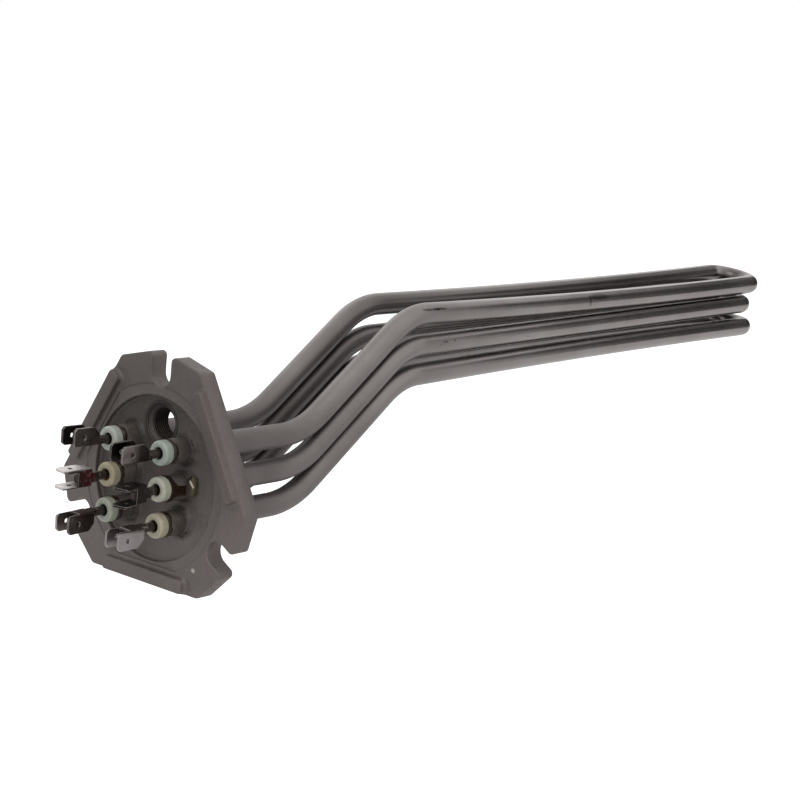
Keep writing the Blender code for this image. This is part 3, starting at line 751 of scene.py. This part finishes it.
def rounded(corners, step=8.0):
    """Outline through (a, b, radius) corners, each fillet limited by its two walls."""
    out = []
    for i, (a, b, radius) in enumerate(corners):
        here = Vector((a, b))
        before = Vector(corners[i - 1][:2]) - here
        after = Vector(corners[(i + 1) % len(corners)][:2]) - here
        half = before.angle(after) / 2
        length = min(radius / math.tan(half), before.length / 2, after.length / 2)
        start = here + before.normalized() * length
        toward = (before.normalized() + after.normalized()).normalized()
        centre = here + toward * (length / math.cos(half))
        arm = start - centre
        turn = arm.angle_signed(here + after.normalized() * length - centre)
        steps = max(2, round(abs(math.degrees(turn)) / step))
        for n in range(steps + 1):
            point = centre + Matrix.Rotation(-turn * n / steps, 2) @ arm
            if not out or (point - Vector(out[-1])).length > 0.01:
                out.append((point.x, point.y))
    return out


def flange_outline():
    """Three long sides, and at each corner two facets with an open notch between them."""
    side = math.radians(60.0)
    det = math.sin(side - FACET_ANGLE)
    corners = []
    for c, reach in enumerate(CORNER_REACH):
        axis = math.radians(90.0 + 120.0 * c)
        u = (reach * math.sin(side) - SIDE_REACH * math.sin(FACET_ANGLE)) / det
        v = (SIDE_REACH * math.cos(FACET_ANGLE) - reach * math.cos(side)) / det
        near = NOTCH_SIDE[c] - NOTCH_W / 2
        far = NOTCH_SIDE[c] + NOTCH_W / 2
        deep = NOTCH_BOTTOM[c]
        jaws = [(reach - abs(w) * math.sin(FACET_ANGLE)) / math.cos(FACET_ANGLE)
                for w in (near, far)]
        for a, b, r in ((u, -v, CORNER_R), (jaws[0], near, JAW_R), (deep, near, NOTCH_W / 2),
                        (deep, far, NOTCH_W / 2), (jaws[1], far, JAW_R), (u, v, CORNER_R)):
            corners.append((a * math.cos(axis) - b * math.sin(axis),
                            a * math.sin(axis) + b * math.cos(axis), r))
    return rounded(corners)


def solid_outline(name, loop, x0, x1, edge):
    """Outline in the YZ plane made a solid helper between x0 and x1, edges rounded off."""
    curve = bpy.data.curves.new(name, "CURVE")
    curve.dimensions = "2D"
    curve.fill_mode = "BOTH"
    curve.extrude = ((x1 - x0) / 2 - edge) * MM
    curve.bevel_depth = edge * MM
    curve.bevel_resolution = 2
    curve.offset = -edge * MM
    spline = curve.splines.new("POLY")
    spline.points.add(len(loop) - 1)
    for point, (y, z) in zip(spline.points, loop):
        point.co = (y * MM, z * MM, 0.0, 1.0)
    spline.use_cyclic_u = True
    obj = bpy.data.objects.new(name, curve)
    bpy.context.scene.collection.objects.link(obj)
    mesh = evaluated(obj)
    bpy.data.objects.remove(obj)
    mesh.transform(Matrix(((0, 0, 1, (x0 + x1) / 2 * MM), (1, 0, 0, 0), (0, 1, 0, 0),
                           (0, 0, 0, 1))))
    return helper(name, opened(mesh, 0.000003))


def carve(obj, steps):
    """Applies (operation, helper) Booleans one after another and removes the helpers."""
    for operation, tool in steps:
        mod = obj.modifiers.new(tool.name, "BOOLEAN")
        mod.operation = operation
        mod.object = tool
        mod.solver = "EXACT"
        mesh = evaluated(obj)
        obj.modifiers.clear()
        bm = opened(mesh, 0.000002)
        bm.to_mesh(mesh)
        bm.free()
        obj.data = mesh
        bpy.data.objects.remove(tool)
    bm = opened(obj.data)
    bpy.data.objects.remove(obj)
    return bm


def rib(index):
    """One raised rib along a long side: a hollow fillet at the foot, drafted flanks, eased edge."""
    turn = math.radians(30.0 + 120.0 * index)
    sections = [(-6.2, 1.42)]
    for a in map(math.radians, (4, 18, 36, 54, 72, 90)):
        sections.append((-PLATE_T - COVE_R * (1 - math.cos(a)), 0.2 + COVE_R * (1 - math.sin(a))))
    sections += [(-9.0, 0.05), (-9.2, -0.04), (-9.33, -0.14), (RIB_TOP, -0.36)]
    rings = []
    for x, grow in sections:
        out = SIDE_REACH - RIB_INSET + min(grow, 0.35)
        inn = SIDE_REACH - RIB_INSET - RIB_W - grow
        end = RIB_HALF + grow
        loop = rounded([(inn, -end, 2.0), (out, -end, 1.0), (out, end, 1.0), (inn, end, 2.0)], 10.0)
        rings.append([(x, a * math.cos(turn) - b * math.sin(turn),
                       a * math.sin(turn) + b * math.cos(turn)) for a, b in loop])
    return helper("rib_%d" % index, shell(rings))


def cross_prism(name, outline):
    """Cutter with an outline in the XZ plane, through the fork from side to side."""
    return helper(name, shell([[(x, y, z) for x, z in outline] for y in (-10.0, 10.0)]))


def box(name, size, centre):
    bm = bmesh.new()
    bmesh.ops.create_cube(bm, size=1.0)
    bmesh.ops.scale(bm, vec=[c * MM for c in size], verts=bm.verts)
    bmesh.ops.translate(bm, vec=[c * MM for c in centre], verts=bm.verts)
    return helper(name, bm)


# Pieces
def build_flange():
    plate = solid_outline("plate", flange_outline(), -PLATE_T, 0.0, EDGE_R)
    spot = [(CLEAR_FRONT, SPOT_R)] + arc(SPOT_X - 0.2, SPOT_R - 0.2, 0.2, 90, 0, 3)
    steps = [("DIFFERENCE", plug("spot_face", spot + [(SPOT_X, 0.5)], 128))]
    steps += [("UNION", rib(c)) for c in range(3)]
    recess = [(CLEAR_FRONT, RECESS_R + 0.45), (-6.7, RECESS_R + 0.45), (-6.5, RECESS_R + 0.2),
              (-6.2, RECESS_R)]
    recess += arc(FLOOR_X - 0.9, RECESS_R - 0.9, 0.9, 90, 0, 6) + [(FLOOR_X, 0.5)]
    steps.append(("DIFFERENCE", plug("recess", recess, 128)))
    fillet = [(FLOOR_X + 0.3, 6.5), (FLOOR_X, 6.3), (-4.55, 5.85), (-4.85, 5.45), (-5.3, 5.1),
              (-5.8, 4.85), (-6.1, 4.7), (-6.2, 4.5), (-6.2, 0.5)]
    hole = [(CLEAR_FRONT, TUBE_R + 0.03), (CLEAR_BACK, TUBE_R + 0.03)]
    for operation, name, profile in (("UNION", "braze", fillet), ("DIFFERENCE", "leg_hole", hole)):
        for side in (-1, 1):
            for row in (-1, 0, 1):
                steps.append((operation, plug(name, profile, 48, side * LEG_Y, row * ROW_Z)))
    seat = [(CLEAR_FRONT, 7.74), (FLOOR_X + 0.8, 7.74), (FLOOR_X + 0.81, 6.6), (CLEAR_BACK, 6.6)]
    steps.append(("DIFFERENCE", plug("bush_hole", seat, 64, 0.0, BUSH_Z)))
    piece("flange_forging", carve(plate, steps), FORGED, "flange", 32.0)


def build_bush():
    """Threaded bore, opening in steps to a countersink on the terminals' side."""

    def thread(x, r, a):
        if not (4.6 <= r <= 5.0 and -2.3 <= x <= 3.4):
            return 0.0
        phase = (x / THREAD_PITCH + a / math.tau) % 1.0
        return THREAD_DEPTH * (1 - abs(2 * phase - 1))

    seat = FLOOR_X + 0.5
    profile = [(seat - 0.65, 7.72), (seat, 7.72), (seat, 6.5), (3.7, 6.5), (3.9, 6.3), (3.9, 5.3)]
    profile += [(3.5 - 5.9 * i / 60, 4.7) for i in range(61)]
    profile += [(-2.5, 5.3), (-2.95, 5.42), (-3.0, 5.75), (-3.45, 5.87), (-3.5, 6.2), (-3.95, 6.32),
                (-4.0, 6.65), (-4.4, 6.77), (-4.45, 7.1), (-4.62, 7.2), (-4.6, 7.5)]
    bm = shell(turned(profile, 96, 0.0, BUSH_Z, thread), True)
    piece("threaded_bush", bm, FORGED, "sensor_bush", 35.0)


def build_sheaths():
    for k, (row, sizes) in enumerate(HAIRPINS.items()):
        points = centre_line(ROW_Z * (1 - k), *sizes)
        bm = sweep(points, (TUBE_R, TUBE_R - TUBE_WALL), 40)
        piece("tube_" + row, bm, SHEATHS[row], "sheath_" + row, 60.0)


def build_fork():
    """The terminal before it is placed on its pin: a bent channel cut to the tabs' outline."""
    out, bend = TAB_W / 2, TAB_BEND_R
    outer, inner = [[(half, TAB_LOW)] + arc(out - bend, TAB_TOP - bend, radius, 0, 90, 6)
                    for half, radius in ((out, bend), (out - TAB_T, bend - TAB_T))]
    outer += [(-y, z) for y, z in outer[::-1]]
    inner += [(-y, z) for y, z in inner[::-1]]
    channel = solid_outline("channel", outer + inner[::-1], TAB_TIP, TAB_BACK, 0.0)
    side = rounded([(TAB_TIP, 0.2, 0.3), (-16.6, TAB_TOP, 0.4), (TAB_BACK, TAB_TOP, 0.1),
                    (TAB_BACK, -2.6, 1.2), (-8.6, TAB_LOW, 1.2), (-16.6, TAB_LOW, 0.4),
                    (TAB_TIP, -4.1, 0.3)])
    hole = [(-13.3 + 0.85 * math.cos(math.tau * i / 24), -1.95 + 0.85 * math.sin(math.tau * i / 24))
            for i in range(24)]
    return carve(channel, [("INTERSECT", cross_prism("tab_outline", side)),
                           ("DIFFERENCE", cross_prism("tab_hole", hole)),
                           ("DIFFERENCE", box("mouth", (8.0, 4.9, 3.0), (-16.0, 0.0, 1.2))),
                           ("UNION", box("tongue", (4.0, 3.4, TAB_T), (-5.4, 0.0, 0.8)))])


def build_terminals():
    bead = arc(BEAD_FRONT + 1.0, BEAD_R - 1.0, 1.0, 180, 90, 6)
    bead += arc(BEAD_BACK - 0.6, BEAD_R - 0.6, 0.6, 90, 0, 5)
    bead += [(BEAD_BACK, BORE_R), (BEAD_FRONT + 0.8, BORE_R)]
    bead += arc(BEAD_FRONT + 0.6, BORE_R + 0.6, 0.6, 270, 180, 5)
    fork = build_fork()
    for name, (side, row, roll, (pitch, yaw, lean)) in TERMINALS.items():
        y, z = side * LEG_Y, row * ROW_Z
        bm = shell(turned(bead, 48, y, z), True)
        piece("ceramic_" + name, bm, CERAMICS[name], "bead_" + name, 50.0)
        turn = Euler([math.radians(a) for a in (roll + lean, pitch, yaw)], "XYZ")
        place = Matrix.Translation(Vector((TAB_ROOT, y, z)) * MM) @ turn.to_matrix().to_4x4()
        bm = fork.copy()
        bmesh.ops.transform(bm, matrix=place, verts=bm.verts)
        tab = piece("tab_" + name, bm, TABS[name], "terminal_" + name, 35.0)
        soften = tab.modifiers.new("rolled_edge", "BEVEL")
        soften.width = 0.1 * MM
        soften.segments = 2
        soften.limit_method = "ANGLE"
        soften.angle_limit = math.radians(50.0)
        dress("pin_" + name, PIN)


def build_seals():
    """Potting resin: fills each bead's bore and sheath end, squeezed out in a lumpy ring."""
    profile = [(BEAD_FRONT + 0.75, PIN_R + 0.01), (BEAD_FRONT + 0.6, 1.75),
               (BEAD_FRONT + 0.9, BORE_R - 0.01), (BEAD_BACK - 0.05, BORE_R - 0.01),
               (BEAD_BACK + 0.02, BORE_R), (BEAD_BACK + 0.02, 3.75), (-13.1, 4.05), (-12.8, 4.2),
               (-12.4, 4.28), (-12.0, 4.32), (-11.75, 4.29), (-11.7, TUBE_R - 0.05),
               (TUBE_END - 0.02, TUBE_R - 0.1), (TUBE_END - 0.02, TUBE_R - TUBE_WALL - 0.02),
               (-6.3, 2.85), (-6.3, PIN_R + 0.01)]
    for n, (name, (side, row, _, _)) in enumerate(TERMINALS.items()):

        def lumps(x, r, a, n=n):
            if r < 3.6:
                return 0.0
            wave = math.sin(3 * a + 1.7 * n) + 0.7 * math.sin(5 * a - 2.3 * n + 3 * x)
            return 0.11 * wave + 0.06 * math.sin(11 * a + n - 4 * x)

        bm = shell(turned(profile, 48, side * LEG_Y, row * ROW_Z, lumps), True)
        resin = AMBER if name == "left_mid" else RESIN
        piece("potting_" + name, bm, resin, "seal_" + name, 50.0)


def build_run():
    """Resin run of the near middle bead: flared at the bead, a band below, a drop at the end."""
    start, end = BEAD_BACK + 0.06, -5.2
    rings = []
    for i in range(29):
        x = start + (end - start) * i / 28
        neck = max(0.0, 1.0 - (x - start) / 3.2)
        high = 18.0 + 92.0 * neck ** 2 + 1.2 * math.sin(1.1 * x)
        low = -98.0 + 5.0 * math.sin(1.3 * x + 0.5)
        thick = 0.30 + 0.04 * math.sin(0.9 * x) + 0.2 * neck
        outer, inner = [], []
        for k in range(25):
            u = k / 24
            a = math.radians(low + (high - low) * u)
            swell = thick * math.sqrt(max(0.0, 1 - (2 * u - 1) ** 6))
            for side, r in ((outer, TUBE_R + swell), (inner, TUBE_R - 0.1)):
                side.append((x, -LEG_Y - r * math.cos(a), r * math.sin(a)))
        rings.append(outer + inner[::-1])
    piece("resin_band", shell(rings), RUN, "resin_run", 60.0)
    drop = bmesh.new()
    bmesh.ops.create_uvsphere(drop, u_segments=40, v_segments=28, radius=1.0)
    for vert in drop.verts:
        x, y, z = [math.copysign(abs(c) ** 0.75, c) for c in vert.co]
        pinch = 1.0 - 0.12 * z
        vert.co = Vector((DROP_CENTRE[0] + 1.45 * x * pinch + 0.12 * z,
                          DROP_CENTRE[1] + 1.8 * y * pinch - 0.1 * z,
                          DROP_CENTRE[2] + 3.7 * z)) * MM
    piece("resin_drop", drop, DROP, "resin_run", 60.0)


def dress_inner():
    for row in HAIRPINS:
        dress("magnesia_" + row, POWDER)
        dress("coil_" + row, COIL)


# Studio
def sheet(name, bm, mat):
    """A surface that stands round the part and isn't one of its pieces."""
    mesh = bpy.data.meshes.new(name)
    bm.to_mesh(mesh)
    bm.free()
    mesh.materials.append(mat)
    obj = bpy.data.objects.new(name, mesh)
    bpy.context.scene.collection.objects.link(obj)
    return obj


def softbox(name, where, aim, width, height, power):
    data = bpy.data.lights.new(name, "AREA")
    data.shape = "RECTANGLE"
    data.size = width
    data.size_y = height
    data.energy = power
    lamp = bpy.data.objects.new(name, data)
    bpy.context.scene.collection.objects.link(lamp)
    lamp.location = where
    lamp.rotation_euler = (Vector(aim) - Vector(where)).to_track_quat("-Z", "Y").to_euler()


def studio():
    scene = bpy.context.scene
    scene.view_settings.view_transform = "Standard"
    world = bpy.data.worlds.new("studio")
    scene.world = world
    world.use_nodes = True
    tree = world.node_tree
    path = add(tree, "LightPath").outputs
    seen = math_node(tree, "MAXIMUM", path["Is Camera Ray"], path["Is Glossy Ray"])
    seen = math_node(tree, "MAXIMUM", seen, path["Is Transmission Ray"])
    fill(tree, tree.nodes["Background"], {"Color": WHITE,
                                          "Strength": ramp(tree, seen, 0.0, 1.0, 0.75, 1.0)})

    paper, tree, shader = finish("floor_paper")
    grain = use(tree, MOTTLE, Scale=3.0, Low=0.2, High=0.8)
    glow = times(tree, add(tree, "LightPath").outputs["Is Camera Ray"], 0.6)
    fill(tree, shader, {
        "Base Color": mix(tree, grain["Mask"], (0.9, 0.9, 0.9, 1.0), (0.88, 0.88, 0.88, 1.0)),
        "Roughness": 0.9, "Emission Color": WHITE, "Emission Strength": glow})
    floor = bmesh.new()
    bmesh.ops.create_grid(floor, x_segments=1, y_segments=1, size=60.0)
    obj = sheet("floor", floor, paper)
    obj.location.z = -0.42

    softbox("key", (-0.7, -0.5, 1.1), (0.1, 0.0, 0.0), 1.2, 1.0, 6.0)
    softbox("rear", (0.3, 1.2, 0.9), (0.15, 0.0, 0.0), 1.2, 0.8, 2.0)

    # dark cloth past the loops, out of the picture: the dark band along the bright tubes
    black, tree, shader = finish("black_cloth")
    fill(tree, shader, {"Base Color": (0.04, 0.04, 0.04, 1.0), "Roughness": 1.0})
    cloth = bmesh.new()
    cloth.faces.new([cloth.verts.new(corner) for corner in (
        (2.0, -1.3, -0.04), (2.0, 0.55, -0.04), (2.0, 0.55, 1.2), (2.0, -1.3, 1.2))])
    panel = sheet("dark_cloth", cloth, black)
    panel.visible_camera = False
    panel.visible_diffuse = False
    panel.visible_shadow = False


place_camera()
studio()
build_flange()
build_bush()
build_sheaths()
build_terminals()
build_seals()
build_run()
dress_inner()
